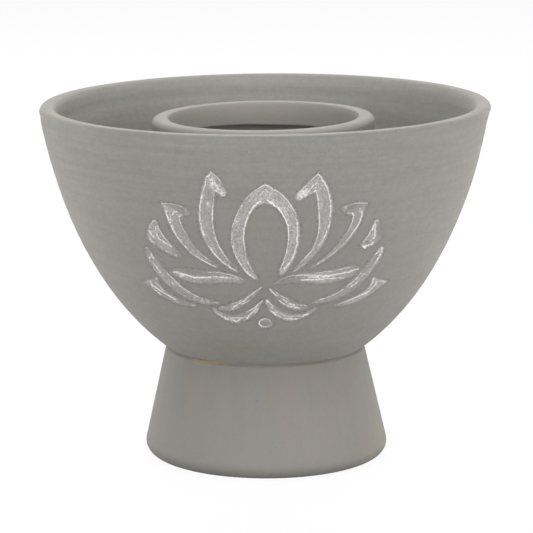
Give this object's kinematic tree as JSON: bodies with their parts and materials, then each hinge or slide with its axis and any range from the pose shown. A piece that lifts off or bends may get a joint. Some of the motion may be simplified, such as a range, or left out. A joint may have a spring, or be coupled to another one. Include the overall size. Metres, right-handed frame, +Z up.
{
  "type": "smudge bowl",
  "caption": "Footed round clay bowl with a loose inner cup and a lotus carved on its front, for burning herbs or incense and catching the ash.",
  "frame": {"origin": "centre of the foot's ring on the table", "axes": "+Z up along the axis of the bowl, -Y towards the carved front, +X to the right as seen from the front"},
  "size_m": [0.15, 0.15, 0.1199],
  "materials": {
    "grey_clay": "matte warm grey, lightly brushed",
    "joint_slip": "matte bare clay slip",
    "white_slip": "chalky white slip, rubbed thin"
  },
  "bodies": {
    "base": {"bowl": "grey_clay", "foot": "grey_clay", "luting_slip": "joint_slip", "seed_inlay": "white_slip", "centre_petal_inlay": "white_slip", "left_tall_petal_inlay": "white_slip", "left_hooked_petal_inlay": "white_slip", "left_wedge_inlay": "white_slip", "left_outer_leaf_inlay": "white_slip", "left_mid_leaf_inlay": "white_slip", "left_low_leaf_inlay": "white_slip", "left_under_petal_inlay": "white_slip", "left_sepal_inlay": "white_slip", "right_tall_petal_inlay": "white_slip", "right_hooked_petal_inlay": "white_slip", "right_wedge_inlay": "white_slip", "right_outer_leaf_inlay": "white_slip", "right_mid_leaf_inlay": "white_slip", "right_low_leaf_inlay": "white_slip", "right_under_petal_inlay": "white_slip", "right_sepal_inlay": "white_slip"},
    "cup": {"inner_cup": "grey_clay"}
  },
  "joints": [
    {"name": "cup_lift", "type": "slide", "parent": "base", "child": "cup", "axis": [0, 0, 1], "range_m": [0, 0.09]}
  ]
}
